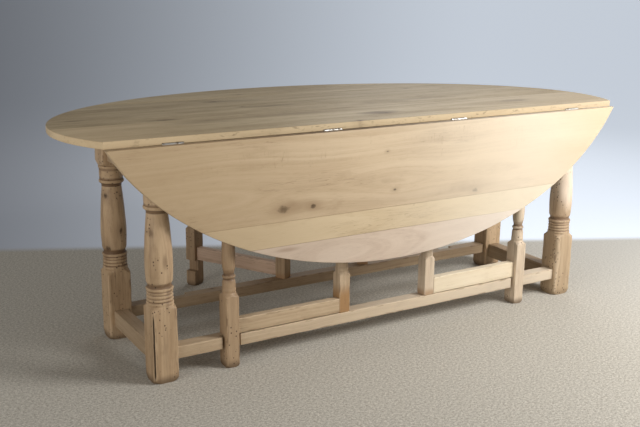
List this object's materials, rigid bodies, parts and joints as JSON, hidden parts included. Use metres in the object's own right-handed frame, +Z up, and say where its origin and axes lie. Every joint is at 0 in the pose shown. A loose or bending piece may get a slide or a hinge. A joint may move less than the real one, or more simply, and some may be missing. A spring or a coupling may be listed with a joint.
{
  "type": "gateleg table",
  "caption": "Oval drop-leaf gateleg table in pale stripped wood: turned legs and gate posts, low stretchers, one leaf hanging and one raised on its open gates.",
  "frame": {"origin": "on the floor, at the middle of the table's whole outline as it stands with the front leaf down and the rear leaf up", "axes": "+X along the table's length, +Y towards the raised rear leaf, +Z up"},
  "size_m": [2.14, 0.989, 0.76],
  "materials": {
    "leg_wood": "stripped and waxed, worn, with dark knots",
    "gate_wood": "stripped and waxed",
    "rail_wood": "stripped, dry",
    "new_rail_wood": "newer and paler, planed",
    "board_wood": "waxed, worn grey-brown",
    "leaf_wood": "waxed, pale",
    "leaf_edge_wood": "waxed, pale and slightly pink",
    "hinge_steel": "bright, a little worn"
  },
  "bodies": {
    "frame": {"apron_front": "rail_wood", "apron_left": "rail_wood", "apron_rear": "rail_wood", "apron_right": "rail_wood", "hinge_front_1_fixed_flap": "hinge_steel", "hinge_front_2_fixed_flap": "hinge_steel", "hinge_front_3_fixed_flap": "hinge_steel", "hinge_front_4_fixed_flap": "hinge_steel", "hinge_rear_1_fixed_flap": "hinge_steel", "hinge_rear_2_fixed_flap": "hinge_steel", "hinge_rear_3_fixed_flap": "hinge_steel", "hinge_rear_4_fixed_flap": "hinge_steel", "leg_front_left": "leg_wood", "leg_front_right": "leg_wood", "leg_rear_left": "leg_wood", "leg_rear_right": "leg_wood", "stretcher_front": "rail_wood", "stretcher_left": "rail_wood", "stretcher_rear": "rail_wood", "stretcher_right": "rail_wood", "top_board_front": "board_wood", "top_board_rear": "board_wood"},
    "front_leaf": {"hinge_front_1_leaf_flap": "hinge_steel", "hinge_front_2_leaf_flap": "hinge_steel", "hinge_front_3_leaf_flap": "hinge_steel", "hinge_front_4_leaf_flap": "hinge_steel", "leaf_front_inner": "leaf_wood", "leaf_front_middle": "leaf_wood", "leaf_front_outer": "leaf_edge_wood"},
    "rear_leaf": {"hinge_rear_1_leaf_flap": "hinge_steel", "hinge_rear_2_leaf_flap": "hinge_steel", "hinge_rear_3_leaf_flap": "hinge_steel", "hinge_rear_4_leaf_flap": "hinge_steel", "leaf_rear_inner": "leaf_wood", "leaf_rear_middle": "leaf_wood", "leaf_rear_outer": "leaf_edge_wood"},
    "gate_front_left": {"gate_front_left_leg": "gate_wood", "gate_front_left_lower_rail": "rail_wood", "gate_front_left_post": "gate_wood", "gate_front_left_upper_rail": "rail_wood"},
    "gate_front_right": {"gate_front_right_leg": "gate_wood", "gate_front_right_lower_rail": "new_rail_wood", "gate_front_right_post": "gate_wood", "gate_front_right_upper_rail": "rail_wood"},
    "gate_rear_left": {"gate_rear_left_leg": "gate_wood", "gate_rear_left_lower_rail": "rail_wood", "gate_rear_left_post": "gate_wood", "gate_rear_left_upper_rail": "rail_wood"},
    "gate_rear_right": {"gate_rear_right_leg": "gate_wood", "gate_rear_right_lower_rail": "rail_wood", "gate_rear_right_post": "gate_wood", "gate_rear_right_upper_rail": "rail_wood"}
  },
  "joints": [
    {"name": "front_leaf_hinge", "type": "hinge", "parent": "frame", "child": "front_leaf", "pos_m": [0, -0.4725, 0.738], "axis": [-1, 0, 0], "range_deg": [0, 90]},
    {"name": "rear_leaf_hinge", "type": "hinge", "parent": "frame", "child": "rear_leaf", "pos_m": [0, 0.0405, 0.738], "axis": [1, 0, 0], "range_deg": [0, 0.8]},
    {"name": "gate_front_left_pivot", "type": "hinge", "parent": "frame", "child": "gate_front_left", "pos_m": [-0.18, -0.422, 0.1], "axis": [0, 0, 1], "range_deg": [0, 1.9]},
    {"name": "gate_front_right_pivot", "type": "hinge", "parent": "frame", "child": "gate_front_right", "pos_m": [0.18, -0.422, 0.1], "axis": [0, 0, -1], "range_deg": [0, 1.9]},
    {"name": "gate_rear_left_pivot", "type": "hinge", "parent": "frame", "child": "gate_rear_left", "pos_m": [-0.18, -0.01, 0.1], "axis": [0, 0, -1], "range_deg": [-61, 29]},
    {"name": "gate_rear_right_pivot", "type": "hinge", "parent": "frame", "child": "gate_rear_right", "pos_m": [0.18, -0.01, 0.1], "axis": [0, 0, 1], "range_deg": [-61, 29]}
  ]
}
